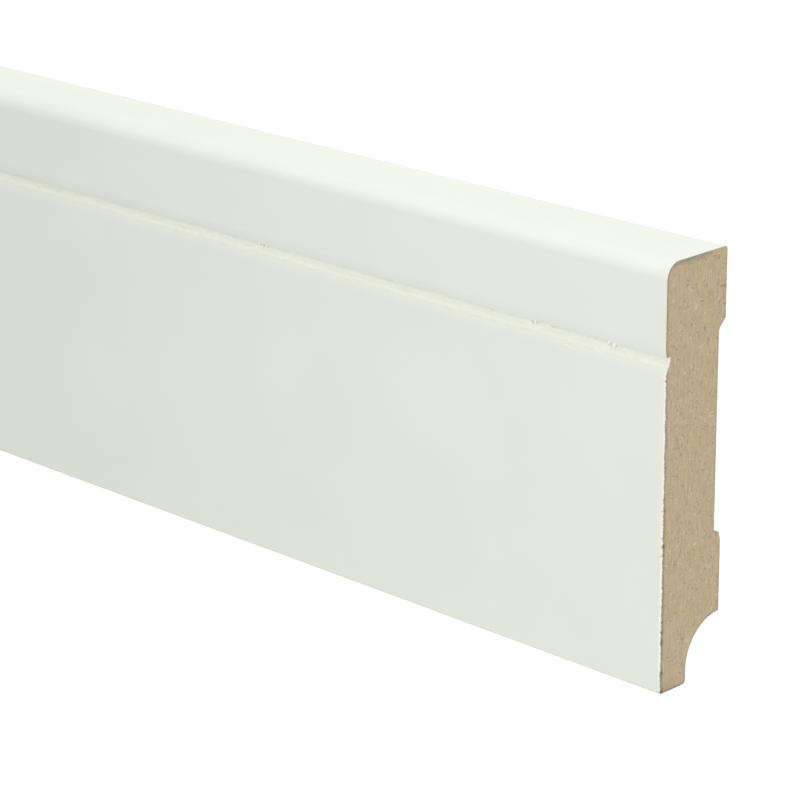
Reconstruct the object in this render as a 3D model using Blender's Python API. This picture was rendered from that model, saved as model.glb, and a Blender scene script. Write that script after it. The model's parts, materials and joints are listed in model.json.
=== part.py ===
"""Skirting board length: one moulded MDF strip with a white wrap on its front and top.

Metres. +X runs along the board, +Y across it towards the rounded top edge, +Z out of the front
face. The board lies on its back: the back lands rest on Z = 0, and the origin is the middle of
the footprint.
"""
import math

import bmesh
import bpy
from mathutils import Matrix

# Size as sold.
LENGTH = 2.4
BOARD_HEIGHT = 0.090
THICKNESS = 0.018

# Edges of the strip.
TOP_ROUND_RADIUS = 0.0035
BACK_TOP_ARRIS_RADIUS = 0.0005
FOOT_FRONT_ARRIS_RADIUS = 0.0004

# The moulded line: a band under the top edge that rolls down to a sharp shelf, a groove cut in
# below the shelf, then a shallow slope that eases out of the groove up to the main face.
BAND_HEIGHT = 0.0190
BAND_ROLL_HEIGHT = 0.0021
BAND_ROLL_DEPTH = 0.00035
GROOVE_HEIGHT = 0.0021
GROOVE_DEPTH = 0.0014
GROOVE_FILLET_RADIUS = 0.0010
LIP_SLOPE_HEIGHT = 0.0024
LIP_SLOPE_DEPTH = 0.00025

# The back: two lands touch the wall, and the field between them is relieved.
UPPER_LAND_HEIGHT = 0.0147
RELIEF_DEPTH = 0.0020
SHOULDER_ANGLE = math.radians(45)
SHOULDER_FILLET_RADIUS = 0.0020
LOWER_LAND_HEIGHT = 0.0177
LAND_STEP_DRAFT = 0.0005
LAND_CHAMFER_HEIGHT = 0.0020
LAND_CHAMFER_DEPTH = 0.0005

# The foot: a quarter-round cove behind it leaves room for a cable.
COVE_RADIUS = 0.0100
FOOT_BACK_HEIGHT = 0.0030
FOOT_BACK_ARRIS_RADIUS = 0.0008

# Straight pieces that stand for each curve.
TOP_ROUND_SEGMENTS = 14
COVE_SEGMENTS = 20
SMALL_ARC_SEGMENTS = 6

WELD_DISTANCE = 0.00001
SMOOTH_ANGLE = math.radians(20)

# Turns the flat section, drawn as (across, out) and extruded both ways, to lie along +X.
SECTION_TO_BOARD = Matrix(((0, 0, 1, 0), (1, 0, 0, 0), (0, 1, 0, 0), (0, 0, 0, 1)))

# Directions in the drawing of the section, which has the foot at its left and the front face up.
# The outline runs clockwise, so an edge that is rounded over sweeps back a quarter turn and a
# hollow sweeps forward.
LEFT, UP, RIGHT, DOWN = (math.radians(degrees) for degrees in (180, 90, 0, -90))
QUARTER_TURN = math.radians(90)


def arc(across, out, radius, start, sweep, segments=SMALL_ARC_SEGMENTS):
    """Points of an arc round (across, out), both ends included."""
    angles = [start + sweep * step / segments for step in range(segments + 1)]
    return [(across + radius * math.cos(angle), out + radius * math.sin(angle)) for angle in angles]


def easing(height, depth):
    """An arc that leaves the face level and falls by depth over height, as (along, down) steps."""
    radius = (height * height + depth * depth) / (2 * depth)
    turn = math.asin(height / radius)
    angles = [turn * step / SMALL_ARC_SEGMENTS for step in range(SMALL_ARC_SEGMENTS + 1)]
    return [(radius * math.sin(angle), radius - radius * math.cos(angle)) for angle in angles]


def front_outline():
    """Up the front: foot arris, main face, slope into the groove, groove, shelf and roll."""
    face = THICKNESS
    shelf = BOARD_HEIGHT - BAND_HEIGHT
    groove_foot = shelf - GROOVE_HEIGHT
    lip = groove_foot - LIP_SLOPE_HEIGHT
    roll_top = shelf + BAND_ROLL_HEIGHT
    groove_floor = face - GROOVE_DEPTH
    points = arc(FOOT_FRONT_ARRIS_RADIUS, face - FOOT_FRONT_ARRIS_RADIUS,
                 FOOT_FRONT_ARRIS_RADIUS, LEFT, -QUARTER_TURN)
    points += [(lip + along, face - down)
               for along, down in easing(LIP_SLOPE_HEIGHT, LIP_SLOPE_DEPTH)]
    points += arc(groove_foot + GROOVE_FILLET_RADIUS, groove_floor + GROOVE_FILLET_RADIUS,
                  GROOVE_FILLET_RADIUS, LEFT, QUARTER_TURN)
    points += [(shelf, groove_floor)]
    points += [(roll_top - along, face - down)
               for along, down in reversed(easing(BAND_ROLL_HEIGHT, BAND_ROLL_DEPTH))]
    return points


def top_outline():
    """Back over the top: the large front round, the flat top and the small back arris."""
    points = arc(BOARD_HEIGHT - TOP_ROUND_RADIUS, THICKNESS - TOP_ROUND_RADIUS,
                 TOP_ROUND_RADIUS, UP, -QUARTER_TURN, TOP_ROUND_SEGMENTS)
    points += arc(BOARD_HEIGHT - BACK_TOP_ARRIS_RADIUS, BACK_TOP_ARRIS_RADIUS,
                  BACK_TOP_ARRIS_RADIUS, RIGHT, -QUARTER_TURN)
    return points


def back_outline():
    """Down the back: upper land, slanted shoulder, relieved field and the step to the lower land."""
    shoulder = BOARD_HEIGHT - UPPER_LAND_HEIGHT
    slant_foot = shoulder - RELIEF_DEPTH / math.tan(SHOULDER_ANGLE)
    fillet_centre = slant_foot - SHOULDER_FILLET_RADIUS * math.tan(SHOULDER_ANGLE / 2)
    land_top = FOOT_BACK_HEIGHT + COVE_RADIUS + LOWER_LAND_HEIGHT
    step_edge = land_top - LAND_STEP_DRAFT
    points = [(shoulder, 0)]
    points += arc(fillet_centre, RELIEF_DEPTH - SHOULDER_FILLET_RADIUS,
                  SHOULDER_FILLET_RADIUS, UP - SHOULDER_ANGLE, SHOULDER_ANGLE)
    points += [(land_top, RELIEF_DEPTH), (step_edge, LAND_CHAMFER_DEPTH),
               (step_edge - LAND_CHAMFER_HEIGHT, 0)]
    return points


def foot_outline():
    """Round the cove, down the back of the foot and round its small back arris."""
    points = arc(FOOT_BACK_HEIGHT, 0, COVE_RADIUS, RIGHT, QUARTER_TURN, COVE_SEGMENTS)
    points += arc(FOOT_BACK_ARRIS_RADIUS, COVE_RADIUS + FOOT_BACK_ARRIS_RADIUS,
                  FOOT_BACK_ARRIS_RADIUS, DOWN, -QUARTER_TURN)
    return points


def extruded_strip(name):
    """The outline as a flat filled curve, extruded to both sides and made one welded mesh."""
    outline = front_outline() + top_outline() + back_outline() + foot_outline()
    curve = bpy.data.curves.new(name, "CURVE")
    curve.dimensions = "2D"
    curve.fill_mode = "BOTH"
    curve.extrude = LENGTH / 2
    spline = curve.splines.new("POLY")
    spline.points.add(len(outline) - 1)
    for point, (across, out) in zip(spline.points, outline):
        point.co = (across - BOARD_HEIGHT / 2, out, 0, 1)
    spline.use_cyclic_u = True

    guide = bpy.data.objects.new(name + "_curve", curve)
    bpy.context.scene.collection.objects.link(guide)
    depsgraph = bpy.context.evaluated_depsgraph_get()
    mesh = bpy.data.meshes.new_from_object(guide.evaluated_get(depsgraph))
    mesh.transform(SECTION_TO_BOARD)
    bpy.data.objects.remove(guide)

    shape = bmesh.new()
    shape.from_mesh(mesh)
    bmesh.ops.remove_doubles(shape, verts=shape.verts, dist=WELD_DISTANCE)
    bmesh.ops.recalc_face_normals(shape, faces=shape.faces)
    shape.to_mesh(mesh)
    shape.free()
    mesh.name = name
    return mesh


def principled(name, color, roughness):
    """A plain opaque finish."""
    material = bpy.data.materials.new(name)
    material.use_nodes = True
    shader = material.node_tree.nodes["Principled BSDF"]
    shader.inputs["Base Color"].default_value = (*color, 1)
    shader.inputs["Roughness"].default_value = roughness
    shader.inputs["Metallic"].default_value = 0
    return material


def is_wrapped(face):
    """True for the faces under the white wrap: the front with its groove, and the top."""
    in_front = face.center.z > THICKNESS - GROOVE_DEPTH - WELD_DISTANCE
    on_top = face.center.y > BOARD_HEIGHT / 2 - TOP_ROUND_RADIUS and face.normal.y > 0
    sawn = abs(face.normal.x) > math.cos(SMOOTH_ANGLE)
    return (in_front or on_top) and not sawn


def skirting_board(collection):
    """The whole board: wrapped on the front and top, bare MDF on the back, foot and sawn ends."""
    name = "skirting_board"
    mesh = extruded_strip(name)
    mesh.materials.append(principled("white_wrap", (0.76, 0.79, 0.72), 0.45))
    mesh.materials.append(principled("bare_mdf", (0.50, 0.41, 0.26), 0.85))
    for face in mesh.polygons:
        face.material_index = 0 if is_wrapped(face) else 1
    mesh.shade_smooth()
    mesh.set_sharp_from_angle(angle=SMOOTH_ANGLE)
    collection.objects.link(bpy.data.objects.new(name, mesh))


def main():
    for item in list(bpy.data.objects):
        bpy.data.objects.remove(item)
    collection = bpy.data.collections.new("skirting_board_length")
    bpy.context.scene.collection.children.link(collection)
    skirting_board(collection)


main()
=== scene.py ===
# %% [markdown]
# # A length of skirting board
#
# The real object is one strip of MDF, moulded by cutters along its whole length, with a thin white
# wrap on the front and the top. It lies on its back, so the front face looks up. Distances are in
# metres: +X runs along the board, +Y across it to the rounded top edge and +Z out of the front.

import json
import math
import random

import bmesh
import bpy
from mathutils import Matrix, Vector, kdtree

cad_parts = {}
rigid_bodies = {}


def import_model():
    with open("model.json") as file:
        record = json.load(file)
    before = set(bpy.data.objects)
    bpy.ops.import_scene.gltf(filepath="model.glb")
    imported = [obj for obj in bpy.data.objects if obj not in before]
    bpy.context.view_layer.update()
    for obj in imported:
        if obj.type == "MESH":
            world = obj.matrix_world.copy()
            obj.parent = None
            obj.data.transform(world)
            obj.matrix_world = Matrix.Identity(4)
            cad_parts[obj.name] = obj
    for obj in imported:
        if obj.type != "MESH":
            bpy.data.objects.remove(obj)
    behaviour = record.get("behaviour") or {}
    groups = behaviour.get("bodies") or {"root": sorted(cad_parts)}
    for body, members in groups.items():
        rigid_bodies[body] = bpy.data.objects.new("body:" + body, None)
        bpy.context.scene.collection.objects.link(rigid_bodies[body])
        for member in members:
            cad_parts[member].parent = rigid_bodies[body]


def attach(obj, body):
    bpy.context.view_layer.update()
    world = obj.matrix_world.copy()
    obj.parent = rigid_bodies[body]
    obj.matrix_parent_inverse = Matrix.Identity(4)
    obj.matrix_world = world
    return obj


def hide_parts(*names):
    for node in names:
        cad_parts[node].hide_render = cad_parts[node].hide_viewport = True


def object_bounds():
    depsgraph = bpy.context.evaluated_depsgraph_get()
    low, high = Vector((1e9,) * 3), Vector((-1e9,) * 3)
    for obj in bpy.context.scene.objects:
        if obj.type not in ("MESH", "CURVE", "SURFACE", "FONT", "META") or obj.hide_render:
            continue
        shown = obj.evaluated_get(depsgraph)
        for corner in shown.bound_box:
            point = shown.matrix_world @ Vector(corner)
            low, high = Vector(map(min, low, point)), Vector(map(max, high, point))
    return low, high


for item in list(bpy.data.objects):
    bpy.data.objects.remove(item)
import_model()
board_low, board_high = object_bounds()
BODY = "root"
NODE = "skirting_board"
MM = 0.001
NEAR = 0.01 * MM

# %% [markdown]
# ## The camera
#
# A camera is a place, a turn and a lens. These came from fitting a pinhole camera to the long
# edges and the sawn end in the photograph: a long lens, close to the right end, so that only the
# last 230 mm of the board are in view.

# %% Place the camera
CAMERA_PLACE = Vector((1.59862, 0.22816, 0.49111))
CAMERA_TURN = tuple(math.radians(angle) for angle in (-19.19511, 44.77019, -0.50602))
LENS_MM = 150.76
SENSOR_MM = 36

camera_data = bpy.data.cameras.new("camera")
camera_data.lens = LENS_MM
camera_data.sensor_width = SENSOR_MM
camera = bpy.data.objects.new("camera", camera_data)
camera.location = CAMERA_PLACE
camera.rotation_euler = CAMERA_TURN
bpy.context.scene.collection.objects.link(camera)
bpy.context.scene.camera = camera
print("camera", tuple(round(value, 3) for value in camera.location), LENS_MM, "mm")

# %% [markdown]
# ## The finishes, named first
#
# Four finishes meet on this board: the white wrap, the milled MDF of the back, the sawn MDF of the
# ends and the torn foil of the burrs. Their names come first, because each piece is given its slots
# while it is being shaped. What the finishes look like is built further down.

# %% Name the finishes
FINISHES = ("white_wrap", "milled_mdf", "sawn_mdf", "torn_foil")
finish = {name: bpy.data.materials.new(name) for name in FINISHES}
slot_of = {name: index for index, name in enumerate(FINISHES)}
print("finishes", list(finish))

# %% [markdown]
# ## Helpers for modelling by hand
#
# Every operator acts on what is selected. So one helper selects whole pieces, one opens a single
# piece for editing, and one picks vertices, edges or faces by a test on where they are.


# %% Helpers for selecting and editing
def select(*parts):
    """Selects these pieces alone, and makes the first of them the active one."""
    bpy.ops.object.select_all(action="DESELECT")
    for part in parts:
        part.select_set(True)
    bpy.context.view_layer.objects.active = parts[0]


def edit(piece):
    """Opens one piece in edit mode with nothing selected."""
    if bpy.context.mode != "OBJECT":
        bpy.ops.object.mode_set(mode="OBJECT")
    select(piece)
    bpy.ops.object.mode_set(mode="EDIT")
    bpy.ops.mesh.select_all(action="DESELECT")


def pick(kind, wanted):
    """Selects only the vertices, edges or faces that pass the test, and returns how many."""
    bpy.ops.mesh.select_mode(type=kind)
    bpy.ops.mesh.select_all(action="DESELECT")
    mesh = bpy.context.edit_object.data
    shape = bmesh.from_edit_mesh(mesh)
    kinds = {"VERT": shape.verts, "EDGE": shape.edges, "FACE": shape.faces}
    found = [item for item in kinds[kind] if not item.hide and wanted(item)]
    for item in found:
        item.select_set(True)
    shape.select_flush_mode()
    bmesh.update_edit_mesh(mesh)
    return len(found)


def score(place, normal):
    """Cuts a line into all that shows of the open piece, where a plane crosses it."""
    bpy.ops.mesh.select_all(action="SELECT")
    bpy.ops.mesh.bisect(plane_co=place, plane_no=normal, threshold=NEAR)


def paint(name):
    """Gives the selected faces of the open piece one of the finishes."""
    bpy.context.object.active_material_index = slot_of[name]
    bpy.ops.object.material_slot_assign()


def across(point):
    """How far up the board from the foot a point is."""
    return point.y - board_low.y


# %% [markdown]
# ## The section, cut from a card
#
# The moulding has one section from end to end, so the section is drawn once and pulled out to
# length. A flat card of the board's height and thickness is scored with bisect wherever the
# section changes, and the cells that the cutters take away are deleted: the cove and the relief on
# the back, and the groove on the front. It could be typed in as a list of points, but scoring keeps
# each cut as one named size.

# %% Score the card and take the cut-outs away
HEIGHT = board_high.y - board_low.y
THICKNESS = board_high.z - board_low.z
COVE = 10 * MM
FOOT_BACK = 3 * MM
LAND_TOP = 30.7 * MM
LAND_DRAFT = 0.5 * MM
LAND_CHAMFER = (2 * MM, 0.5 * MM)
RELIEF = 2 * MM
UPPER_LAND = 14.7 * MM
BAND = 19.0 * MM
GROOVE = (2.1 * MM, 0.85 * MM)
GROOVE_WALL_LEAN = 0.6 * MM
BAND_ROLL = (1.1 * MM, 0.25 * MM)
LIP_SLOPE = (1.55 * MM, 0.25 * MM)

shelf = HEIGHT - BAND
groove_foot = shelf - GROOVE[0]
lip = groove_foot - LIP_SLOPE[0]
roll = shelf + BAND_ROLL[0]
cove_top = FOOT_BACK + COVE
shoulder = HEIGHT - UPPER_LAND
chamfer_foot = LAND_TOP - LAND_DRAFT - LAND_CHAMFER[0]

bpy.ops.mesh.primitive_plane_add(size=1, rotation=(0, math.radians(90), 0))
card = bpy.context.object
card.name = "section_card"
card.scale = (THICKNESS, HEIGHT, 1)
card.location = (0, 0, THICKNESS / 2)
bpy.ops.object.transform_apply(location=True, rotation=True, scale=True)
for name in FINISHES:
    card.data.materials.append(finish[name])

edit(card)
for height in (cove_top, chamfer_foot, LAND_TOP, shoulder, lip, groove_foot, shelf, roll):
    score((0, board_low.y + height, 0), (0, 1, 0))
for depth in (RELIEF, COVE, THICKNESS - GROOVE[1]):
    score((0, 0, depth), (0, 0, 1))


def is_cut_away(cell):
    """True for the cells of the card that the cutters remove."""
    middle = cell.calc_center_median()
    up, out = across(middle), middle.z
    in_cove = up < cove_top and out < COVE
    in_relief = LAND_TOP < up < shoulder and out < RELIEF
    in_groove = groove_foot < up < shelf and out > THICKNESS - GROOVE[1]
    return in_cove or in_relief or in_groove


cells_gone = pick("FACE", is_cut_away)
bpy.ops.mesh.delete(type="FACE")
print("cells cut away", cells_gone)

# %% [markdown]
# Some corners lean, because the real cutters leave draft: the shoulder above the relief slants at
# 45 degrees, the step on to the lower land leans and is chamfered, the groove's wall leans out, and
# the face slopes a little into the groove from both sides. Each is one corner of the card moved a
# little. The score lines have then done their work, and dissolving them leaves one clean face.


# %% Lean the drafted corners and clean the card
def corner_at(up, out):
    """A test for vertices at one place on the section."""
    return lambda vertex: abs(across(vertex.co) - up) < NEAR and abs(vertex.co.z - out) < NEAR


drafted = (
    (shoulder, RELIEF, -RELIEF, 0),
    (LAND_TOP, 0, -LAND_DRAFT, LAND_CHAMFER[1]),
    (groove_foot, THICKNESS, 0, -LIP_SLOPE[1]),
    (groove_foot, THICKNESS - GROOVE[1], GROOVE_WALL_LEAN, 0),
    (shelf, THICKNESS, 0, -BAND_ROLL[1]),
)
for up, out, up_by, out_by in drafted:
    pick("VERT", corner_at(up, out))
    bpy.ops.transform.translate(value=(0, up_by, out_by))
bpy.ops.mesh.select_all(action="SELECT")
bpy.ops.mesh.dissolve_limited(angle_limit=math.radians(1))
print("corners of the section", len(bmesh.from_edit_mesh(card.data).verts))

# %% [markdown]
# ### Rounding the corners
#
# A vertex bevel swaps a corner for an arc. On a square corner its offset is the arc's radius, and
# on the slanted shoulder it is the radius times the tangent of half the turn. The big round on the
# top edge, the roll into the groove and the hollow of the cove are all this one step with different
# sizes. The cove is a square notch whose inner corner is filled until the arc reaches both ends.

# %% Bevel each corner of the section
SHOULDER_RADIUS = 2 * MM
SHOULDER_FILLET = SHOULDER_RADIUS * math.tan(math.radians(45) / 2)
TOP_ROUND = 3.5 * MM
ROUNDED = (
    ("top round", HEIGHT, THICKNESS, TOP_ROUND, 20),
    ("back top arris", HEIGHT, 0, 0.7 * MM, 6),
    ("shoulder fillet", shoulder - RELIEF, RELIEF, SHOULDER_FILLET, 6),
    ("cove", cove_top, COVE, COVE, 28),
    ("foot back arris", 0, COVE, 0.8 * MM, 8),
    ("foot front arris", 0, THICKNESS, 0.4 * MM, 6),
    ("groove fillet", groove_foot + GROOVE_WALL_LEAN, THICKNESS - GROOVE[1], 0.5 * MM, 8),
    ("shelf foot", shelf, THICKNESS - GROOVE[1], 0.5 * MM, 6),
    ("groove edge", groove_foot, THICKNESS - LIP_SLOPE[1], 0.3 * MM, 6),
    ("lip", lip, THICKNESS, 0.6 * MM, 6),
    ("band roll", roll, THICKNESS, 1.0 * MM, 8),
)
for name, up, out, offset, segments in ROUNDED:
    count = pick("VERT", corner_at(up, out))
    bpy.ops.mesh.bevel(offset=offset, segments=segments, affect="VERTICES", clamp_overlap=False)
    print(name, count, "corner")
bpy.ops.mesh.select_all(action="SELECT")
bpy.ops.mesh.remove_doubles(threshold=NEAR)
bpy.ops.object.mode_set(mode="OBJECT")
print("section outline", len(card.data.vertices), "points")

# %% [markdown]
# ## The moulded length
#
# Pulling the section out along X gives the strip, as the cutters leave it. The last few millimetres
# at each end are pieces of their own. They meet the long piece face to face, so no joint shows, and
# only they carry the fine mesh that a saw cut through MDF needs.

# %% Pull the section out along the board
SLICE = 6 * MM


def section_at(name, place):
    """A copy of the card with a mesh of its own, standing at one place along the board."""
    piece = card.copy()
    piece.data = card.data.copy()
    piece.name = name
    piece.data.name = name
    piece.data.transform(Matrix.Translation((place, 0, 0)))
    bpy.context.scene.collection.objects.link(piece)
    return piece


def pull_out(piece, distance):
    """Extrudes the whole section along X and leaves the piece open for editing, faces outward."""
    edit(piece)
    bpy.ops.mesh.select_all(action="SELECT")
    bpy.ops.mesh.extrude_region_move(TRANSFORM_OT_translate={"value": (distance, 0, 0)})
    bpy.ops.mesh.select_all(action="SELECT")
    bpy.ops.mesh.normals_make_consistent(inside=False)


length_low = board_low.x + SLICE
length_high = board_high.x - SLICE
moulding = section_at("moulded_length", length_low)
pull_out(moulding, length_high - length_low)
print("moulded length", round((length_high - length_low) / MM, 1), "mm")

# %% [markdown]
# The wrap covers the front with its groove and goes over the top edge. The back, the foot and the
# cove are bare, as the cutters left them. So the faces are sorted by place: a face is wrapped if it
# lies in front of the groove's floor, or on the top edge.

# %% Wrap the front and the top
MOSTLY = 0.5


def is_long(face):
    """True for the faces that run along the board."""
    return abs(face.normal.x) < MOSTLY


def is_wrapped(face):
    """True for the long faces under the white wrap."""
    middle = face.calc_center_median()
    in_front = middle.z > THICKNESS - GROOVE[1] - NEAR and across(middle) > NEAR
    on_top = across(middle) > HEIGHT - TOP_ROUND and face.normal.y > 0
    return (in_front or on_top) and is_long(face)


def wrap_long_faces():
    """Paints the long faces of the open piece with the wrap and the milled MDF."""
    pick("FACE", is_long)
    paint("milled_mdf")
    wrapped = pick("FACE", is_wrapped)
    paint("white_wrap")
    return wrapped


print("wrapped faces", wrap_long_faces())

# %% [markdown]
# The long piece is then cut across, in two rounds of subdividing its long edges. The cuts keep the
# faces from being 2.4 m slivers. A third round cuts only the long edges of the groove, which is
# going to wander a little.

# %% Cut the long piece across
CUTS_EACH_ROUND = (15, 15)
CUTS_IN_GROOVE = 5
WANDER_FADE = 1.0 * MM


def groove_share(point):
    """How far a point belongs to the moulded line: 1 in it, and fading to 0 beside it."""
    if point.z < THICKNESS - GROOVE[1] - NEAR:
        return 0
    outside = max(lip - across(point), across(point) - roll, 0)
    return max(0, 1 - outside / WANDER_FADE)


def runs_along(edge):
    """True for the edges that run along the board."""
    return abs(edge.verts[0].co.x - edge.verts[1].co.x) > NEAR


for cuts in CUTS_EACH_ROUND:
    pick("EDGE", runs_along)
    bpy.ops.mesh.subdivide(number_cuts=cuts)
pick("EDGE", lambda edge: runs_along(edge) and groove_share(edge.verts[0].co) > 0)
bpy.ops.mesh.subdivide(number_cuts=CUTS_IN_GROOVE)
bpy.ops.object.mode_set(mode="OBJECT")
print("faces on the moulded length", len(moulding.data.polygons))

# %% [markdown]
# ## The sawn ends
#
# A saw leaves the section's face a little rough. Each end slice is scored into a fine grid, which
# serves two ends: the fibres can be real relief, and every grid point can carry values that the
# material reads.

# %% Score a fine grid into a sawn end
GRID = 0.3 * MM
X_CUTS = (0.3 * MM, 0.6 * MM, 1.0 * MM, 1.8 * MM, 3.2 * MM)


def steps(low, high, spacing):
    """Evenly spaced places strictly between two limits."""
    count = max(1, round((high - low) / spacing))
    return [low + (high - low) * index / count for index in range(1, count)]


def sawn_end(name, start, outward):
    """One end slice with its grid. outward is 1 at the right end and -1 at the left."""
    piece = section_at(name, start)
    pull_out(piece, outward * SLICE)
    wrap_long_faces()
    pick("FACE", lambda face: face.normal.x * outward < -MOSTLY)
    bpy.ops.mesh.hide()
    for height in steps(board_low.y, board_high.y, GRID):
        score((0, height, 0), (0, 1, 0))
    for depth in steps(0, THICKNESS, GRID):
        score((0, 0, depth), (0, 0, 1))
    face_place = start + outward * SLICE
    for inward in X_CUTS:
        score((face_place - outward * inward, 0, 0), (1, 0, 0))
    pick("FACE", lambda face: face.normal.x * outward > MOSTLY)
    paint("sawn_mdf")
    bpy.ops.mesh.reveal()
    bpy.ops.object.mode_set(mode="OBJECT")
    print(name, len(piece.data.polygons), "faces")
    return piece


right_end = sawn_end("sawn_end_right", length_high, 1)
left_end = sawn_end("sawn_end_left", length_low, -1)
bpy.data.objects.remove(card)
pieces = [moulding, right_end, left_end]

# %% [markdown]
# ### A groove that wanders
#
# On the real board the wrap doesn't sit quite evenly in the groove, and its lines wander by up to a
# quarter of a millimetre. A Displace modifier moves the groove of all three pieces sideways by one
# slow cloud texture. They read it at their own place, so they still meet.

# %% Let the groove wander
WANDER_PACE = 4 * MM
WANDER = 0.55 * MM


def push_by(piece, texture, direction, strength, middle, weights):
    """Displaces a piece along one axis by a texture, as far as each vertex's weight lets it."""
    group = piece.vertex_groups.new(name=texture.name)
    for index, weight in weights.items():
        group.add([index], weight, "REPLACE")
    push = piece.modifiers.new(texture.name, "DISPLACE")
    push.texture = texture
    push.texture_coords = "LOCAL"
    push.direction = direction
    push.mid_level = middle
    push.strength = strength
    push.vertex_group = group.name
    select(piece)
    bpy.ops.object.modifier_apply(modifier=push.name)
    piece.vertex_groups.clear()
    return len(weights)


def clouds(name, size, depth):
    """A cloud texture for pushing."""
    texture = bpy.data.textures.new(name, "CLOUDS")
    texture.noise_scale = size
    texture.noise_depth = depth
    return texture


wander_clouds = clouds("wander", WANDER_PACE, 1)
for piece in pieces:
    shares = {vertex.index: groove_share(vertex.co) for vertex in piece.data.vertices}
    shares = {index: share for index, share in shares.items() if share > 0}
    print(piece.name, "wandering points", push_by(piece, wander_clouds, "Y", WANDER, 0.5, shares))

# %% [markdown]
# ### How far from the edge
#
# On the sawn face the thin wrap shows as a bright line round the front, with a greyer line inside
# it, and the bare edges are darker. Insets could draw such lines, but they cross each other at the
# tiny arrises. So each grid point is given its distance from the wrapped edge and from the bare
# edge instead, and the material draws the lines, as ragged as they are, from these two values.

# %% Measure each grid point's distance from the edges
RIM_POINTS = 6


def is_sawn(face):
    """True for the faces that the saw left."""
    return face.material_index == slot_of["sawn_mdf"]


def rim_tree(shape, wrapped):
    """A search tree of close points along the wrapped or the bare part of the sawn face's edge."""
    points = []
    for edge in shape.edges:
        beside = [face for face in edge.link_faces if not is_sawn(face)]
        if len(beside) != 1 or (beside[0].material_index == slot_of["white_wrap"]) != wrapped:
            continue
        first, last = (vertex.co for vertex in edge.verts)
        points += [first.lerp(last, (index + 0.5) / RIM_POINTS) for index in range(RIM_POINTS)]
    tree = kdtree.KDTree(len(points))
    for index, point in enumerate(points):
        tree.insert(point, index)
    tree.balance()
    return tree


def measure_rims(piece):
    """Stores both distances on every grid point, in millimetres."""
    shape = bmesh.new()
    shape.from_mesh(piece.data)
    for name, wrapped in (("from_wrap", True), ("from_bare", False)):
        tree = rim_tree(shape, wrapped)
        values = piece.data.attributes.new(name, "FLOAT", "POINT")
        values.data.foreach_set("value", [tree.find(vertex.co)[2] / MM for vertex in shape.verts])
    shape.free()


for piece in (right_end, left_end):
    measure_rims(piece)
    print(piece.name, "measured at", len(piece.data.vertices), "points")

# %% [markdown]
# ### Chips and torn spots
#
# A saw also leaves marks that no even pattern gives: chips of foil along the front edge, notches
# where the foil has come away, and a few pits and pale splinters in the fibre. Each is a soft spot
# given by its place and its half sizes in millimetres: in from the end, up the board and out from
# the wall. A value above zero is pale and a value below zero is dark.

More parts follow.
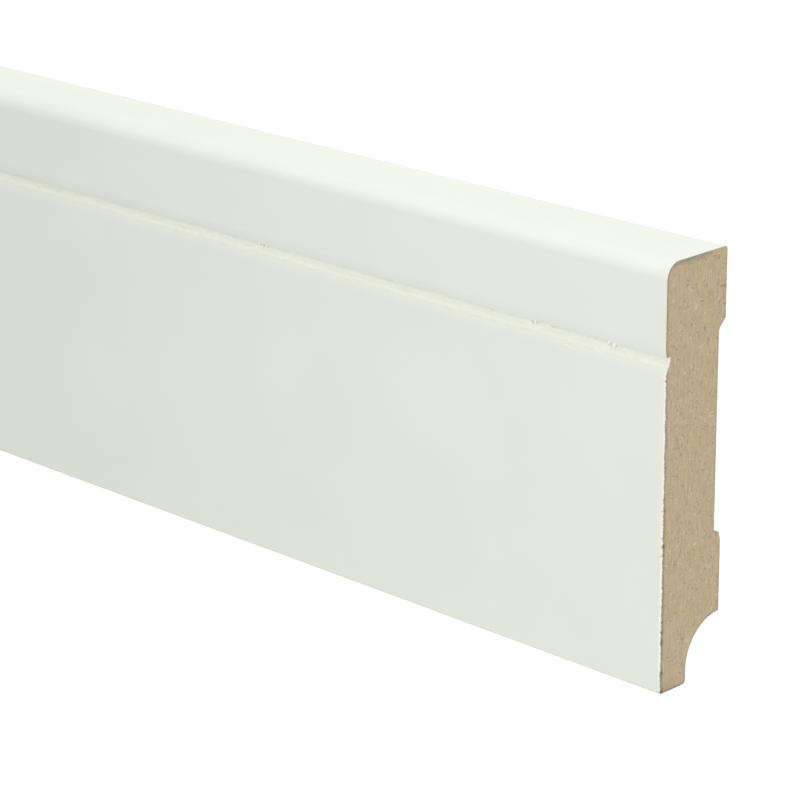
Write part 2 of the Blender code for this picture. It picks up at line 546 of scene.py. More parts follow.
# %% Mark the chips and torn spots
# A dark mark shows bare MDF where the wrap is torn; on the sawn face it is the painted shade of a
# pit.
MARKS = (
    ((0.1, 66.9, 18.0), (0.3, 0.3, 0.4), 0.8),
    ((0.0, 66.3, 17.9), (0.3, 0.3, 0.4), -1.0),
    ((0.0, 56.2, 17.5), (0.2, 0.6, 0.6), -0.5),
    ((0.0, 48.0, 17.4), (0.2, 0.6, 0.6), -0.6),
    ((0.1, 41.8, 17.6), (0.3, 0.4, 0.5), -0.7),
    ((0.1, 40.4, 17.9), (0.3, 0.2, 0.3), 0.6),
    ((0.1, 39.2, 17.6), (0.3, 0.3, 0.6), -0.8),
    ((0.1, 34.4, 17.9), (0.3, 0.2, 0.3), 0.6),
    ((0.1, 33.5, 17.7), (0.3, 0.3, 0.6), -0.9),
    ((0.1, 32.7, 17.9), (0.3, 0.2, 0.4), 0.7),
    ((0.1, 31.7, 17.6), (0.3, 0.5, 0.6), -1.0),
    ((0.1, 29.7, 17.6), (0.3, 0.3, 0.6), -1.0),
    ((0.0, 15.6, 17.5), (0.2, 0.5, 0.5), -0.7),
    ((0.1, 14.3, 17.9), (0.3, 0.2, 0.3), 0.6),
    ((0.1, 13.4, 17.5), (0.3, 0.6, 0.6), -0.9),
    ((0.0, 11.2, 17.5), (0.3, 0.9, 0.5), -0.9),
    ((0.0, 8.5, 17.5), (0.2, 0.7, 0.4), -0.5),
    ((0.0, 4.4, 17.5), (0.3, 0.9, 0.6), -0.9),
    ((0.0, 0.5, 17.5), (0.3, 0.5, 0.8), -0.9),
    ((0.0, 0.2, 14.0), (0.3, 0.3, 2.2), -0.7),
    ((0.0, 12.7, 2.0), (0.2, 0.5, 2.0), -0.45),
    ((0.0, 14.5, 0.2), (0.2, 1.6, 0.4), -0.5),
    ((0.0, 18.5, 0.2), (0.2, 0.6, 0.3), -0.5),
    ((0.0, 75.6, 0.4), (0.2, 0.5, 0.4), -0.5),
    ((0.0, 78.2, 0.3), (0.2, 0.4, 0.3), -0.6),
    ((0.0, 79.4, 0.8), (0.2, 0.4, 0.4), -0.5),
    ((0.0, 81.6, 0.2), (0.2, 0.3, 0.3), -0.5),
    ((0.0, 89.6, 0.6), (0.2, 0.5, 0.6), -0.35),
    ((0.0, 89.0, 8.4), (0.2, 0.4, 0.9), -0.4),
    ((0.0, 89.1, 14.2), (0.2, 0.2, 0.3), 0.4),
    ((0.0, 88.4, 15.9), (0.2, 0.3, 0.3), 0.4),
    ((0.0, 87.7, 16.6), (0.2, 0.2, 0.3), 0.3),
    ((0.0, 88.1, 15.0), (0.2, 0.2, 0.3), -0.4),
    ((0.0, 85.9, 9.3), (0.2, 0.2, 0.5), 0.6),
    ((0.0, 84.0, 9.3), (0.2, 0.25, 0.3), -0.6),
    ((0.0, 72.1, 12.9), (0.2, 0.3, 0.3), -0.6),
    ((0.0, 70.8, 7.3), (0.2, 0.2, 0.5), 0.6),
    ((0.0, 61.7, 13.9), (0.2, 0.2, 0.6), -0.6),
    ((0.0, 58.3, 12.9), (0.2, 0.25, 0.3), -1.0),
    ((0.0, 48.1, 10.0), (0.2, 0.25, 0.3), 0.9),
    ((0.0, 39.0, 12.5), (0.2, 0.6, 0.25), 0.5),
    ((0.0, 37.6, 13.8), (0.2, 0.4, 0.25), -0.5),
    ((0.0, 34.1, 15.0), (0.2, 0.25, 0.3), -0.7),
    ((0.0, 29.6, 7.8), (0.2, 0.3, 0.5), 0.6),
    ((0.0, 26.1, 5.6), (0.2, 0.25, 0.3), -0.8),
    ((0.0, 25.3, 2.5), (0.2, 0.25, 0.3), -0.7),
    ((0.0, 9.7, 11.1), (0.2, 1.0, 0.25), -0.7),
    ((0.0, 7.2, 15.4), (0.2, 0.2, 0.8), -0.6),
)
REACH = 3


def spot(offsets, halves):
    """How strong a soft spot is at a point: 1 in its middle, and next to nothing past its edge."""
    far = sum((offset / half) ** 2 for offset, half in zip(offsets, halves))
    return math.exp(-far) if far < REACH else 0


def mark(piece, marks):
    """Stores on every grid point the sum of the marks there."""
    values = []
    for vertex in piece.data.vertices:
        here = (board_high.x - vertex.co.x, across(vertex.co), vertex.co.z)
        values.append(sum(
            strength * spot([at / MM - middle for at, middle in zip(here, place)], halves)
            for place, halves, strength in marks
        ))
    piece.data.attributes.new("torn", "FLOAT", "POINT").data.foreach_set("value", values)


mark(right_end, MARKS)
print("marks", len(MARKS))

# %% [markdown]
# ### Fibre relief
#
# Torn fibres stand up and leave holes, a few hundredths of a millimetre deep. A Displace modifier
# pushes the grid of the sawn face inwards by a cloud texture. It only ever pushes inwards, so that
# the board keeps its length, and the edge of the face stays where it is.

# %% Roughen the sawn faces
FIBRE_SIZE = 0.7 * MM
FIBRE_DEPTH = 0.10 * MM

fibre_clouds = clouds("fibres", FIBRE_SIZE, 2)


def roughen(piece, outward):
    """Pushes the sawn face of an end in, unevenly, all but its edge."""
    sawn = [face for face in piece.data.polygons if is_sawn(face)]
    plain = [face for face in piece.data.polygons if not is_sawn(face)]
    on_rim = {corner for face in plain for corner in face.vertices}
    inside = {corner for face in sawn for corner in face.vertices} - on_rim
    weights = {corner: 1 for corner in sorted(inside)}
    return push_by(piece, fibre_clouds, "X", -outward * FIBRE_DEPTH, 0, weights)


print("roughened points", roughen(right_end, 1), roughen(left_end, -1))

# %% [markdown]
# ## Smooth shading
#
# The arcs are made of short flats. Shading them smooth hides that, as long as real corners stay
# sharp. A wide flat beside an arc would then look bent, because its corners share the arc's
# normals. The Weighted Normal modifier gives each corner the normal of its largest face instead.

# %% Shade the pieces
SMOOTH_ANGLE = math.radians(25)

for piece in pieces:
    select(piece)
    bpy.ops.object.shade_smooth_by_angle(angle=SMOOTH_ANGLE)
    flat = piece.modifiers.new("flats_stay_flat", "WEIGHTED_NORMAL")
    flat.keep_sharp = True
    flat.weight = 100
    bpy.ops.object.modifier_apply(modifier=flat.name)
print("shaded", [piece.name for piece in pieces])

# %% [markdown]
# ## Burrs in the groove and at the end
#
# Where the foil breaks over the shelf's sharp edge, it leaves tufts of torn fibres that hang into
# the groove. Some are brown: partly MDF fibre, and partly painted shade, dark ticks that stand for
# the tiny shadows beside the white fibres. A few slivers of foil also lie along the sawn edge. One
# fibre is a thin cone, bent by hand in three places. It is copied for each fibre, given its length,
# turn and place, and all copies are joined.

# %% Model one torn fibre
FIBRE = (0.12 * MM, 0.03 * MM, 0.8 * MM)
FIBRE_BENDS = (0.25, 0.5, 0.75)
FIBRE_BEND = math.radians(17)

bpy.ops.mesh.primitive_cone_add(vertices=5, radius1=FIBRE[0], radius2=FIBRE[1], depth=FIBRE[2])
torn_fibre = bpy.context.object
torn_fibre.name = "torn_fibre"
torn_fibre.location = (0, 0, FIBRE[2] / 2)
bpy.ops.object.transform_apply(location=True, rotation=False, scale=False)
for name in FINISHES:
    torn_fibre.data.materials.append(finish[name])
edit(torn_fibre)
pick("EDGE", lambda edge: abs(edge.verts[0].co.z - edge.verts[1].co.z) > FIBRE[2] / 2)
bpy.ops.mesh.subdivide(number_cuts=len(FIBRE_BENDS))
for level in FIBRE_BENDS:
    joint = level * FIBRE[2]
    pick("VERT", lambda vertex: vertex.co.z > joint + NEAR)
    bpy.ops.transform.rotate(value=FIBRE_BEND, orient_axis="X", center_override=(0, 0, joint))
pick("FACE", lambda face: True)
paint("torn_foil")
bpy.ops.object.mode_set(mode="OBJECT")
print("one fibre", len(torn_fibre.data.polygons), "faces")

# %% [markdown]
# The tufts nearest the right end are where the real board has them. Each is given by its distance
# from that end and its width in millimetres, its number of fibres and their size. Further along the
# board a seeded draw places more of the same kind. A fibre's root lies on the shelf's edge, and it
# leans a little out of the straight way down.

# %% Hang the tufts in the groove
TUFTS = (
    (5.0, 0.4, 2, 0.9),
    (13.4, 0.3, 3, 1.5),
    (14.7, 0.3, 2, 2.2),
    (20.9, 0.4, 3, 0.8),
    (26.3, 1.0, 6, 0.7),
    (30.4, 1.6, 9, 0.9),
    (34.8, 1.0, 5, 1.1),
    (46.8, 0.4, 2, 0.8),
    (50.3, 0.5, 2, 0.8),
    (90.4, 0.8, 3, 0.8),
    (105.2, 0.7, 4, 1.0),
    (114.0, 2.2, 8, 1.0),
    (120.0, 1.6, 6, 1.1),
    (124.5, 0.8, 3, 0.9),
    (136.0, 0.8, 3, 0.6),
    (167.0, 0.8, 3, 0.8),
    (194.0, 0.8, 3, 0.8),
)
LAST_KNOWN_TUFT = 200
TUFT_GAPS = (9, 40)
TUFT_WIDTHS = (0.4, 1.8)
TUFT_COUNTS = (2, 7)
TUFT_SIZES = (0.7, 1.1)
FIBRE_SIZES = (0.6, 1.2)
ROOT_UP = (-0.1 * MM, 0.3 * MM)
ROOT_OUT = (-0.12 * MM, 0)
LEAN_ALONG = 0.35
LEAN_OUT = (-0.12, 0.08)
# The brown fibres are partly MDF fibre and partly painted shade beside the white ones.
BROWN_AND_SHADE_SHARE = 0.3
BROWN_AND_SHADE_SIZE = 0.45
SEED = 18

random.seed(SEED)
tufts = list(TUFTS)
from_end = LAST_KNOWN_TUFT
while from_end < (board_high.x - board_low.x) / MM - TUFT_GAPS[1]:
    width, count = random.uniform(*TUFT_WIDTHS), random.randint(*TUFT_COUNTS)
    tufts.append((from_end, width, count, random.uniform(*TUFT_SIZES)))
    from_end += random.uniform(*TUFT_GAPS)


def fibre_copy(place, direction, size):
    """A copy of the fibre with a mesh of its own, standing on a place and pointing one way."""
    copy = torn_fibre.copy()
    copy.data = torn_fibre.data.copy()
    turn = direction.to_track_quat("Z", "Y").to_matrix().to_4x4()
    spin = Matrix.Rotation(random.uniform(0, math.tau), 4, "Z")
    copy.data.transform(Matrix.Translation(place) @ turn @ spin @ Matrix.Scale(size, 4))
    bpy.context.scene.collection.objects.link(copy)
    return copy


def joined(name, parts):
    """All the parts as one piece."""
    select(*parts)
    bpy.ops.object.join()
    parts[0].name = name
    parts[0].data.name = name
    bpy.ops.object.shade_smooth()
    return parts[0]


SHELF_EDGE = Vector((0, board_low.y + shelf, THICKNESS - BAND_ROLL[1]))
hanging = []
for from_end, width, count, size in tufts:
    for _ in range(count):
        along = board_high.x - (from_end + random.gauss(0, width / 2)) * MM
        place = SHELF_EDGE + Vector((along, random.uniform(*ROOT_UP), random.uniform(*ROOT_OUT)))
        direction = Vector((random.gauss(0, LEAN_ALONG), -1, random.uniform(*LEAN_OUT)))
        # A brown fibre is partly MDF fibre and partly painted shade, a dark tick beside the white
        # ones.
        brown = random.random() < BROWN_AND_SHADE_SHARE
        own_size = size * random.uniform(*FIBRE_SIZES) * (BROWN_AND_SHADE_SIZE if brown else 1)
        fibre = fibre_copy(place, direction, own_size)
        if brown:
            for face in fibre.data.polygons:
                face.material_index = slot_of["milled_mdf"]
        hanging.append(fibre)
tuft_piece = joined("groove_tufts", hanging)
print("tufts", len(tufts), "with", len(tuft_piece.data.polygons), "faces")

# %% [markdown]
# The slivers lie on the front face. Most have their foot at the sawn edge, and three lie in a row
# along the lip. They are given by their distance from the right end and their height on the board,
# in millimetres, by their size and by their slant. They are let half into the face, and what still
# stands proud of the board, here and on the tufts, is pressed flat.

# %% Lay the slivers on the front face
SLIVERS = (
    (0.05, 78.5, 0.9, 0.1),
    (0.05, 79.3, 0.7, -0.1),
    (0.1, 67.3, 1.5, -0.1),
    (0.05, 67.0, 0.7, 0.5),
    (23.6, 67.5, 1.5, 0.1),
    (24.6, 67.6, 1.5, 0.1),
    (25.7, 67.7, 1.4, 0.1),
    (0.05, 49.0, 0.6, 0.9),
    (0.05, 42.6, 0.9, 0.35),
    (0.05, 40.2, 0.5, 0.6),
    (0.05, 39.0, 0.4, -0.4),
    (0.05, 34.2, 0.5, 0.3),
    (0.05, 32.6, 0.6, -0.5),
    (0.05, 31.2, 0.5, 0.4),
    (0.05, 14.3, 0.5, 0.5),
    (0.05, 12.0, 0.4, 0.8),
    (0.05, 4.9, 0.8, 0.3),
    (0.05, 4.2, 0.6, -0.2),
    (0.05, 1.4, 0.7, 0.5),
)
SLIVER_SINK = 0.6 * FIBRE[0]

laid = []
for inward, up, size, slant in SLIVERS:
    foot = Vector((board_high.x - inward * MM, board_low.y + up * MM, THICKNESS - SLIVER_SINK))
    laid.append(fibre_copy(foot, Vector((-1, slant, 0)), size))
sliver_piece = joined("foil_slivers", laid)
for burrs in (tuft_piece, sliver_piece):
    edit(burrs)
    if pick("VERT", lambda vertex: vertex.co.z > THICKNESS):
        bpy.ops.transform.resize(value=(1, 1, 0), center_override=(0, 0, THICKNESS))
    bpy.ops.object.mode_set(mode="OBJECT")
bpy.data.objects.remove(torn_fibre)
pieces += [tuft_piece, sliver_piece]
print("slivers", len(SLIVERS), "with", len(sliver_piece.data.polygons), "faces")

# %% [markdown]
# ## Shader helpers
#
# A material is a tree of nodes. One helper adds a node with its inputs given by name, and links
# those that come from another node. The others are short names for the nodes that are used most,
# and they find their tree from the outputs that they are given. A ramp is the one behind every
# mask: it fades between the two values that it is given.


# %% Helpers for shader nodes
def add_node(tree, kind, inputs=None, **settings):
    """Adds a node. An input is given as a value, or as the output it is linked to."""
    node = tree.nodes.new("ShaderNode" + kind)
    for name, value in settings.items():
        setattr(node, name, value)
    for name, value in (inputs or {}).items():
        if isinstance(value, bpy.types.NodeSocket):
            tree.links.new(value, node.inputs[name])
        else:
            node.inputs[name].default_value = value
    return node


def tree_of(*values):
    """The tree that the first output among these values belongs to."""
    return next(value.id_data for value in values if isinstance(value, bpy.types.NodeSocket))


def ramp(value, low, high, to_low=0.0, to_high=1.0):
    """Maps a value smoothly from one range to another."""
    ends = {"From Min": low, "From Max": high, "To Min": to_low, "To Max": to_high}
    inputs = {"Value": value, **ends}
    node = add_node(value.id_data, "MapRange", inputs, interpolation_type="SMOOTHSTEP")
    return node.outputs["Result"]


def spread(noise, to_low=0.0, to_high=1.0, half=0.2):
    """Maps a noise round one half on to a range. A smaller half range gives harder spots."""
    return ramp(noise, 0.5 - half, 0.5 + half, to_low, to_high)


def maths(operation, *terms, kind="Math"):
    """One sum with numbers."""
    inputs = dict(enumerate(terms))
    return add_node(tree_of(*terms), kind, inputs, operation=operation).outputs[0]


def vector_maths(operation, *terms):
    """One sum with vectors."""
    return maths(operation, *terms, kind="VectorMath")


def product(first, *others):
    """Several values multiplied together."""
    for other in others:
        first = maths("MULTIPLY", first, other)
    return first


def blend(share, first, second, how="MIX"):
    """Mixes two colours."""
    tree = tree_of(share, first, second)
    inputs = {0: share, 6: first, 7: second}
    return add_node(tree, "Mix", inputs, data_type="RGBA", blend_type=how).outputs[2]


def bumped(height, distance, strength=1.0, extra=None):
    """The surface's normal, tilted by the slopes of a height."""
    inputs = {"Height": height, "Distance": distance, "Strength": strength, **(extra or {})}
    return add_node(height.id_data, "Bump", inputs).outputs["Normal"]


def object_place(tree):
    """Where a point is on the object, in metres."""
    return add_node(tree, "TexCoord").outputs["Object"]


# %% [markdown]
# What more than one finish uses is a group: a tree of its own with named inputs and outputs, which
# is placed in each material with its own values.


# %% Helpers for node groups
def new_group(name, inputs, outputs):
    """An empty shader node group with named inputs, given with their defaults, and outputs."""
    group = bpy.data.node_groups.new(name, "ShaderNodeTree")
    new_socket = group.interface.new_socket
    for socket_name, default in inputs.items():
        socket = new_socket(socket_name, in_out="INPUT", socket_type="NodeSocketFloat")
        socket.default_value = default
    for socket_name in outputs:
        new_socket(socket_name, in_out="OUTPUT", socket_type="NodeSocketFloat")
    return group, group.nodes.new("NodeGroupInput"), group.nodes.new("NodeGroupOutput")


def use_group(tree, group, inputs):
    """Places a group in a material with its own values."""
    return add_node(tree, "Group", inputs, node_tree=group)


# %% [markdown]
# ## Wood fibres, as a node group
#
# MDF is glued wood fibre. On a sawn face single fibre bundles show as short curved strokes, mostly
# pale with a darker side, and as a few dark ones. Each layer of the group bends space with a noise,
# stretches a Voronoi pattern one way in it, and shows only some of its cells. A second look at the
# same pattern, a little to the side, gives each pale stroke its shadow.

# %% Build the fibre group
STROKE_TURNS = (9, -16, 83)
PER_METRE = 1 / MM
BEND_PER_MM = 0.7
BEND_MM = (0, 2.6, 2.6)
SHADOW_SIDE = (0, 0.06, 0.24)
SHADOW_STRENGTH = 0.6
STROKE_EDGE = (0.22, 0.42)

fibres, fibres_in, fibres_out = new_group(
    "wood_fibres",
    {"Along mm": 0.45, "Up mm": 1.3, "Out mm": 0.45, "Light share": 0.12, "Dark share": 0.06},
    ("Light", "Dark", "Relief"),
)
in_mm = vector_maths("MULTIPLY", object_place(fibres), (PER_METRE,) * 3)
bend = add_node(fibres, "TexNoise", {"Vector": in_mm, "Scale": BEND_PER_MM, "Detail": 1.0})
bent = vector_maths("MULTIPLY_ADD", bend.outputs["Color"], BEND_MM, in_mm)
beside = vector_maths("ADD", bent, SHADOW_SIDE)
sizes = {axis: fibres_in.outputs[way + " mm"] for axis, way in zip("XYZ", ("Along", "Up", "Out"))}
stroke_size = add_node(fibres, "CombineXYZ", sizes).outputs[0]


def strokes(vector, turn):
    """One layer of strokes that lie about one way: its pale strokes and its dark ones."""
    turned = add_node(
        fibres,
        "VectorRotate",
        {"Vector": vector, "Angle": math.radians(turn), "Center": (0, 0, turn)},
        rotation_type="X_AXIS",
    ).outputs[0]
    cell = vector_maths("DIVIDE", turned, stroke_size)
    voronoi = add_node(fibres, "TexVoronoi", {"Vector": cell, "Scale": 1.0}, feature="F1")
    body = ramp(voronoi.outputs["Distance"], *STROKE_EDGE, 1, 0)
    draw = add_node(fibres, "SeparateColor", {"Color": voronoi.outputs["Color"]})
    is_light = maths("LESS_THAN", draw.outputs["Red"], fibres_in.outputs["Light share"])
    is_dark = maths("LESS_THAN", draw.outputs["Green"], fibres_in.outputs["Dark share"])
    return product(body, is_light), product(body, is_dark)


light_total, dark_and_shadow_total = 0.0, 0.0
for turn in STROKE_TURNS:
    light, dark = strokes(bent, turn)
    shadow, _ = strokes(beside, turn)
    # Painted shadow beside each pale stroke; it joins the dark strokes in the Dark output.
    side = product(maths("SUBTRACT", shadow, light), SHADOW_STRENGTH)
    light_total = maths("MAXIMUM", light_total, light)
    dark_and_shadow_total = maths("MAXIMUM", dark_and_shadow_total, maths("MAXIMUM", dark, side))
relief = maths("SUBTRACT", light_total, dark_and_shadow_total)
for name, value in (("Light", light_total), ("Dark", dark_and_shadow_total), ("Relief", relief)):
    fibres.links.new(value, fibres_out.inputs[name])
print("fibre group nodes", len(fibres.nodes))

# %% [markdown]
# ## Uneven tone, as a node group
#
# No finish is quite even. This group gives a slow drift of tone and a fine grain, both around one
# half, for any of the materials to use as they need.

# %% Build the tone group
tone_sizes = {"Drift mm": 30.0, "Grain mm": 0.5}
tone, tone_in, tone_out = new_group("uneven_tone", tone_sizes, ("Drift", "Grain"))
place = object_place(tone)
for name in ("Drift", "Grain"):
    scale = maths("DIVIDE", PER_METRE, tone_in.outputs[name + " mm"])
    noise = add_node(tone, "TexNoise", {"Vector": place, "Scale": scale, "Detail": 2.0})
    tone.links.new(noise.outputs["Fac"], tone_out.inputs[name])
print("tone group nodes", len(tone.nodes))

# %% [markdown]
# ## The white wrap
#
# The wrap is a thin satin foil, a warm white with a touch of green. Its surface is nearly smooth:
# a very fine grain, a slow unevenness from the MDF under it, and a satin gloss. In the groove the
# floor under the shelf is painted lighter, as painted light where the shelf shades it, and the
# slope is painted creamier and a little darker, partly painted shade.


# %% Helpers for the finishes
def fresh_tree(name):
    """The node tree of a finish, with only its Principled shader and output."""
    finish[name].use_nodes = True
    tree = finish[name].node_tree
    return tree, tree.nodes["Principled BSDF"]


def shade(colour, factor):
    """A colour made lighter or darker, with its alpha."""
    return tuple(channel * factor for channel in colour) + (1,)


def place_in_mm(tree):
    """A point in millimetres: along from the middle, up from the foot and out from the wall."""
    foot = (0, -board_low.y * PER_METRE, 0)
    in_mm = vector_maths("MULTIPLY_ADD", object_place(tree), (PER_METRE,) * 3, foot)
    return tuple(add_node(tree, "SeparateXYZ", {0: in_mm}).outputs)


def stored(tree, name):
    """A value that the mesh carries on its points. It is 0 on a mesh that has none."""
    return add_node(tree, "Attribute", attribute_name=name).outputs["Fac"]


# %% Lay the foil, and paint light and shade into the groove
WRAP_WHITE = (0.77, 0.80, 0.725)
# The slope's tint is creamier and a little darker, partly painted shade; the floor's tint is
# painted light.
SLOPE_CREAM_AND_SHADE = (0.772, 0.787, 0.702, 1)
FLOOR_PAINTED_LIGHT = (0.865, 0.878, 0.79, 1)

groove_up, lip_up, shelf_up, top_up = (height / MM for height in (groove_foot, lip, shelf, HEIGHT))
tree, shader = fresh_tree("white_wrap")
uneven = use_group(tree, tone, {"Drift mm": 25.0, "Grain mm": 0.6}).outputs
colour = blend(spread(uneven["Drift"]), shade(WRAP_WHITE, 0.99), shade(WRAP_WHITE, 1.01))
along, up, _ = place_in_mm(tree)
above_foot = ramp(up, groove_up - 0.8, groove_up)
in_groove = product(above_foot, ramp(up, shelf_up - 0.15, shelf_up + 0.05, 1, 0))
# Painted light on the groove's floor under the shelf, where the shelf shades it.
floor_light_share = ramp(up, shelf_up - 1.6, shelf_up - 0.8)
colour = blend(in_groove, colour, blend(floor_light_share, SLOPE_CREAM_AND_SHADE, FLOOR_PAINTED_LIGHT))
print("groove from", round(groove_up, 2), "to", round(shelf_up, 2), "mm up the board")

# %% [markdown]
# Along the saw cut the foil is creamier, and its very edge is broken and bright. Then come the
# chips and the notches that the mesh carries, made crumbly by the grain.

# %% Break the wrap's edge at the saw cut
CREAMY = (0.825, 0.80, 0.72, 1)
BROKEN = (0.98, 0.94, 0.86, 1)
CHIP = (0.95, 0.93, 0.87, 1)
NOTCH = (0.40, 0.34, 0.26, 1)

near_end = maths("SUBTRACT", board_high.x / MM, maths("ABSOLUTE", along))
below_lip = ramp(up, lip_up, lip_up + 1, 1, 0)
creamy = product(ramp(near_end, 0.8, 2.2, 1, 0), ramp(up, 20, 32), below_lip)
colour = blend(creamy, colour, CREAMY)
ragged_end = maths("ADD", near_end, spread(uneven["Grain"], -0.15, 0.15))
broken = product(
    ramp(ragged_end, 0.15, 0.40, 1, 0),
    below_lip,
    ramp(up, 24, 36, 1, 0.6),
    ramp(up, 2.0, 4.5),
)
colour = blend(broken, colour, BROKEN)
torn = product(stored(tree, "torn"), spread(uneven["Grain"], 0.6, 1.2, half=0.1))
colour = blend(ramp(torn, 0.1, 0.5), colour, CHIP)
colour = blend(ramp(torn, -0.2, -0.6), colour, NOTCH)
tree.links.new(colour, shader.inputs["Base Color"])
print("wrap nodes for colour", len(tree.nodes))

# %% [markdown]
# The relief is two bumps: the grain all over, and coarser ripples in the groove, where the foil was
# pressed in. The ripples lie round zero, so that they fade out at the groove's edge without a step.

# %% Give the wrap its gloss, grain and ripples
GRAIN_RELIEF = 0.02 * MM
RIPPLE_RELIEF = 0.5 * MM

tree.links.new(spread(uneven["Grain"], 0.40, 0.46), shader.inputs["Roughness"])
ripples = use_group(tree, tone, {"Drift mm": 2.2, "Grain mm": 1.0}).outputs
ripple = product(maths("SUBTRACT", ripples["Drift"], 0.5), in_groove)
grained = bumped(uneven["Grain"], GRAIN_RELIEF, strength=0.15)
rippled = bumped(ripple, RIPPLE_RELIEF, extra={"Normal": grained})
tree.links.new(rippled, shader.inputs["Normal"])
print("wrap nodes in all", len(tree.nodes))

# %% [markdown]
# ## The MDF finishes
#
# Sawn MDF is matt, pale brown and flecked, and its tone drifts between olive and a pinker brown,
# with faint streaks the way the blade or the cutters went. The milled back is smoother, with flecks
# drawn out along the board. One function builds what both share, and hands back its colour so that
# the sawn finish can be taken further.

# %% Build what the MDF finishes share
MDF_OLIVE = (0.515, 0.432, 0.258)
MDF_PINK = (0.530, 0.420, 0.277)
MILLED_BROWN = (0.46, 0.37, 0.235)
STREAK_TONES = (0.93, 1.07)
PALE_STROKE = 1.45
DARK_STROKE_AND_SHADOW = 0.45


def mdf(name, colours, streak_pace, flecks, strengths, relief_depth, roughness):
    """One MDF finish up to its flecks: returns its tree, its shader, its flecks and its colour."""
    tree, shader = fresh_tree(name)
    marks = use_group(tree, fibres, flecks)
    uneven = use_group(tree, tone, {"Drift mm": 5.0, "Grain mm": 0.35}).outputs
    drift = spread(uneven["Drift"], half=0.15)
    colour = blend(drift, shade(colours[0], 1), shade(colours[1], 1))
    drawn_out = vector_maths("MULTIPLY", object_place(tree), streak_pace)
    streak = add_node(tree, "TexNoise", {"Vector": drawn_out, "Scale": 1.0, "Detail": 2.0})
    colour = blend(1.0, colour, spread(streak.outputs["Fac"], *STREAK_TONES), "MULTIPLY")
    pale = product(marks.outputs["Light"], strengths[0])
    colour = blend(pale, colour, shade(colours[0], PALE_STROKE))
    # The Dark output holds the dark strokes and the painted shadow beside each pale stroke.
    dark = product(marks.outputs["Dark"], strengths[1])
    colour = blend(dark, colour, shade(colours[0], DARK_STROKE_AND_SHADOW))
    height = maths("ADD", marks.outputs["Relief"], product(uneven["Grain"], 0.5))
    tree.links.new(bumped(height, relief_depth), shader.inputs["Normal"])
    shader.inputs["Roughness"].default_value = roughness
    return tree, shader, marks, colour


# %% Build the milled back
BACK_STREAKS = (100, 1500, 1500)

back_flecks = {"Along mm": 2.4, "Up mm": 0.4, "Out mm": 0.4, "Light share": 0.2, "Dark share": 0.16}
back_colours = (shade(MILLED_BROWN, 0.97)[:3], shade(MILLED_BROWN, 1.03)[:3])
tree, shader, _, colour = mdf(
    "milled_mdf",
    back_colours,
    BACK_STREAKS,
    back_flecks,
    strengths=(0.4, 0.4),
    relief_depth=0.02 * MM,
    roughness=0.8,
)
tree.links.new(colour, shader.inputs["Base Color"])
print("milled back nodes", len(tree.nodes))

# %% [markdown]
# ### The sawn face
#
# The flecks of the sawn face are few near the top edge, where the fibres are fine, and most in the
# middle of the thickness. So the group's share of pale strokes is linked to the place on the face.

# %% Fleck the sawn face
SAWN_STREAKS = (1500, 300, 1500)

mid_out = THICKNESS / MM / 2
sawn_flecks = {"Along mm": 0.4, "Up mm": 1.3, "Out mm": 0.4, "Dark share": 0.09}
tree, shader, marks, colour = mdf(
    "sawn_mdf",
    (MDF_OLIVE, MDF_PINK),
    SAWN_STREAKS,
    sawn_flecks,
    strengths=(0.62, 0.55),
    relief_depth=0.03 * MM,
    roughness=0.9,
)
_, up, out = place_in_mm(tree)
off_middle = maths("ABSOLUTE", maths("SUBTRACT", out, mid_out))
share_by_height = ramp(up, top_up - 13, top_up - 3, 0.30, 0.08)
share = product(share_by_height, ramp(off_middle, 3, mid_out, 1, 0.5))
tree.links.new(share, marks.inputs["Light share"])
print("sawn face nodes for flecks", len(tree.nodes))

# %% [markdown]
# Then the two stored distances draw the edge. A noise moves them about, so that the lines come out
# ragged. Under the top edge a speckled band of painted shade darkens the face. Round the band and
# the top runs a tan line, which fades out towards the back, and painted shade darkens the front
# corner of the foot.

# %% Paint shade under the top and at the foot, and draw the tan line
TOP_PAINTED_SHADE = (0.350, 0.310, 0.205, 1)
TAN = (0.340, 0.290, 0.200, 1)
FOOT_PAINTED_SHADE = (0.40, 0.30, 0.20, 1)
SHAKE_MM = 0.7

ragged = use_group(tree, tone, {"Drift mm": 1.6, "Grain mm": 0.4}).outputs
both = maths("ADD", ragged["Drift"], ragged["Grain"])
shake = product(maths("SUBTRACT", both, 1.0), SHAKE_MM)
from_wrap = maths("ADD", stored(tree, "from_wrap"), shake)
from_bare = maths("ADD", stored(tree, "from_bare"), shake)

not_far_back = ramp(out, 2.5, 7.5)
speckle = spread(ragged["Grain"], 0.1, 1, half=0.1)
# Painted shade in a speckled band just under the top edge, towards the front.
painted_shade_under_top = product(ramp(up, top_up - 2.1, top_up - 0.7), not_far_back, speckle)
colour = blend(painted_shade_under_top, colour, TOP_PAINTED_SHADE)
tan_line = product(
    ramp(from_wrap, 0.40, 0.80, 1, 0),
    ramp(up, shelf_up - 0.3, shelf_up + 0.1),
    ramp(ragged["Grain"], 0.36, 0.56, 0.5, 1),
    not_far_back,
)
colour = blend(tan_line, colour, TAN)
# Painted shade in the front corner of the foot.
painted_shade_at_foot = product(ramp(up, 0.3, 4.0, 0.6, 0), ramp(out, 11, 17))
colour = blend(painted_shade_at_foot, colour, FOOT_PAINTED_SHADE)
print("sawn face nodes with shades", len(tree.nodes))

# %% [markdown]
# Below the shelf the wrap's cut edge is a cream line, with a purple-grey line of glue and packed
# fibre inside it. The bare edge is a little darker, in dots. The stored marks paint pale splinters,
# and their dark spots are painted shade of pits, with no hole in the mesh. A pit's painted shade
# breaks the cream line too.

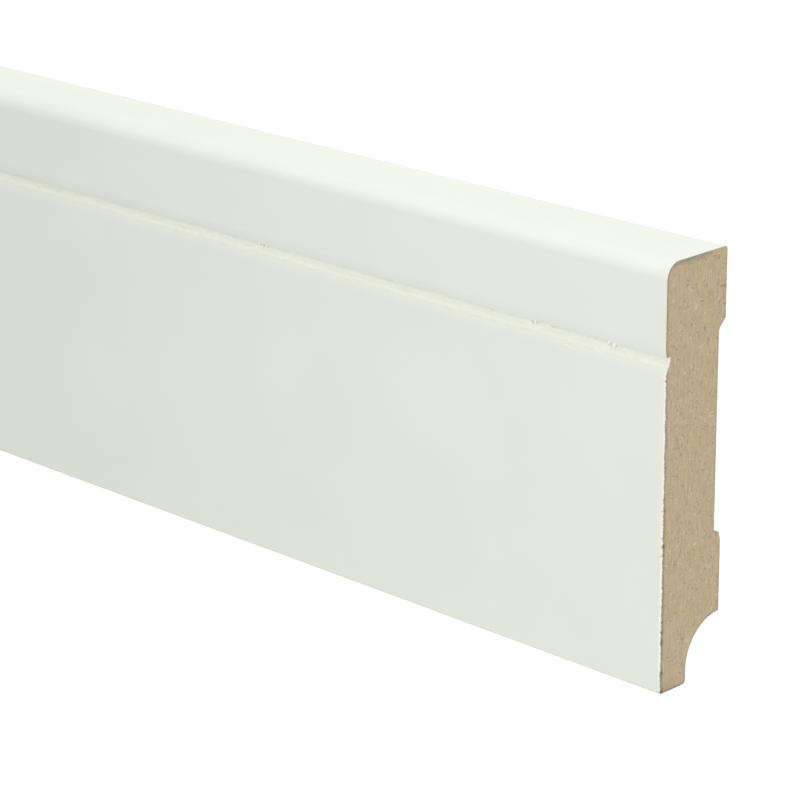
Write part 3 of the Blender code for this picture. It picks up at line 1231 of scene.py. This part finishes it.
# %% Draw the cut edges, the holes and the splinters
PACKED_BROWN = (0.345, 0.285, 0.185, 1)
PACKED_GREY = (0.375, 0.330, 0.265, 1)
BARE_EDGE = (0.30, 0.23, 0.14, 1)
PIT_SHADE = (0.17, 0.13, 0.085, 1)
CREAM = (0.95, 0.92, 0.84, 1)
SPLINTER = (0.82, 0.75, 0.58, 1)

below_groove = ramp(up, groove_up - 1.2, groove_up - 0.6, 1, 0)
grey_line = product(ramp(from_wrap, 0.70, 1.15, 1, 0), below_groove, 0.9)
packed = blend(ramp(up, 36, 44), PACKED_BROWN, PACKED_GREY)
colour = blend(grey_line, colour, packed)
foot_share = ramp(up, 0.2, 2.5, 0.9, 0.35)
bare_line = product(ramp(from_bare, 0.10, 0.45, 1, 0), foot_share)
colour = blend(bare_line, colour, BARE_EDGE)
torn = product(stored(tree, "torn"), spread(ragged["Grain"], 0.5, 1.3, half=0.1))
# Painted shade of the pits, where the marks are dark.
colour = blend(ramp(torn, -0.1, -0.8, 0, 0.9), colour, PIT_SHADE)
cream_reach = ramp(up, groove_up - 1.0, groove_up - 0.4, 0.27, 0.50)
cream_line = product(
    ramp(maths("SUBTRACT", from_wrap, cream_reach), -0.05, 0.05, 1, 0),
    ramp(up, shelf_up - 0.2, shelf_up, 1, 0),
    ramp(torn, -0.2, -0.6, 1, 0),
)
colour = blend(cream_line, colour, CREAM)
colour = blend(ramp(torn, 0.1, 0.8, 0, 0.8), colour, SPLINTER)
tree.links.new(colour, shader.inputs["Base Color"])
print("sawn face nodes in all", len(tree.nodes))

# %% [markdown]
# ### Torn foil
#
# The burrs are the same foil, torn: brighter, because no glue or fibre shows through, and matt.

# %% Build the torn foil
TORN_DULL = (0.94, 0.93, 0.89, 1)
TORN_BRIGHT = (0.99, 0.99, 0.97, 1)

tree, shader = fresh_tree("torn_foil")
uneven = use_group(tree, tone, {"Drift mm": 3.0, "Grain mm": 0.3}).outputs
colour = blend(ramp(uneven["Grain"], 0.3, 0.6), TORN_DULL, TORN_BRIGHT)
tree.links.new(colour, shader.inputs["Base Color"])
shader.inputs["Roughness"].default_value = 0.6
print("torn foil nodes", len(tree.nodes))

# %% [markdown]
# ## Floor and light
#
# The photograph's background is pure white with no shadow. A floor that glows a little, like a
# light table, gives that, and lights the hollow under the foot as well. A pale sky lights
# everything evenly. A long soft lamp stands over the top edge and a low one beyond it grazes the
# top, both a little warm, and a small pool of light lies on the right end.

# %% Lay the floor
FLOOR_SIZE = 30
FLOOR_DROP = 0.1 * MM
WHITE = (1, 1, 1, 1)
FLOOR_LOOK = {
    "Base Color": (0.1, 0.1, 0.1, 1),
    "Roughness": 1,
    "Specular IOR Level": 0,
    "Emission Color": WHITE,
    "Emission Strength": 1,
}

bpy.ops.mesh.primitive_plane_add(size=FLOOR_SIZE, location=(0, 0, -FLOOR_DROP))
floor = bpy.context.object
floor.name = "floor"
floor_material = bpy.data.materials.new("floor_white")
floor_material.use_nodes = True
for name, value in FLOOR_LOOK.items():
    floor_material.node_tree.nodes["Principled BSDF"].inputs[name].default_value = value
floor.data.materials.append(floor_material)
print("floor", FLOOR_SIZE, "m square")

# %% Light the sky
SKY_STRENGTH = 0.614
BACKDROP_STRENGTH = 1.05

world = bpy.data.worlds.new("studio")
bpy.context.scene.world = world
world.use_nodes = True
sky_tree = world.node_tree
sky = sky_tree.nodes["Background"]
sky.inputs["Color"].default_value = WHITE
sky.inputs["Strength"].default_value = SKY_STRENGTH
backdrop_look = {"Color": WHITE, "Strength": BACKDROP_STRENGTH}
backdrop = add_node(sky_tree, "Background", backdrop_look)
seen = add_node(sky_tree, "LightPath").outputs["Is Camera Ray"]
shaders = {0: seen, 1: sky.outputs[0], 2: backdrop.outputs[0]}
either = add_node(sky_tree, "MixShader", shaders)
sky_tree.links.new(either.outputs[0], sky_tree.nodes["World Output"].inputs["Surface"])
bpy.context.scene.view_settings.view_transform = "Standard"
print("sky", SKY_STRENGTH, "backdrop", BACKDROP_STRENGTH)

# %% Hang the lamps
LAMP_WARMTH = (1, 0.975, 0.915)
POOL_WATTS = 144
POOL_ANGLE = math.radians(14)
POOL_SOFTNESS = 0.3


def aim(lamp, place, target):
    """Puts a lamp at a place and turns it to its target."""
    lamp.location = place
    lamp.rotation_euler = (Vector(target) - Vector(place)).to_track_quat("-Z", "Y").to_euler()
    lamp.visible_camera = False
    bpy.context.scene.collection.objects.link(lamp)


def soft_box(name, place, width, depth, watts):
    """A rectangular area lamp that faces the middle of the board."""
    data = bpy.data.lights.new(name, "AREA")
    data.shape = "RECTANGLE"
    data.size = width
    data.size_y = depth
    data.energy = watts
    data.color = LAMP_WARMTH
    aim(bpy.data.objects.new(name, data), place, target=(0, 0, 0))


soft_box("top_side_box", place=(0, 2.038, 1.710), width=5, depth=1.2, watts=15.4)
soft_box("low_box", place=(0, 0.695, 0.281), width=3.2, depth=0.25, watts=1.85)
pool_data = bpy.data.lights.new("end_pool", "SPOT")
pool_data.energy = POOL_WATTS
pool_data.spot_size = POOL_ANGLE
pool_data.spot_blend = 1
pool_data.shadow_soft_size = POOL_SOFTNESS
aim(bpy.data.objects.new("end_pool", pool_data), place=(1.6, 0.6, 2.4), target=(1.25, 0, 0))

# %% [markdown]
# ## Hand the pieces to the frame
#
# Every piece rides on the one body. The long piece stands for the CAD solid, which is then no
# longer shown.

# %% Ride on the body, and hide the CAD solid
for piece in pieces:
    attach(piece, BODY)
    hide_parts(NODE)
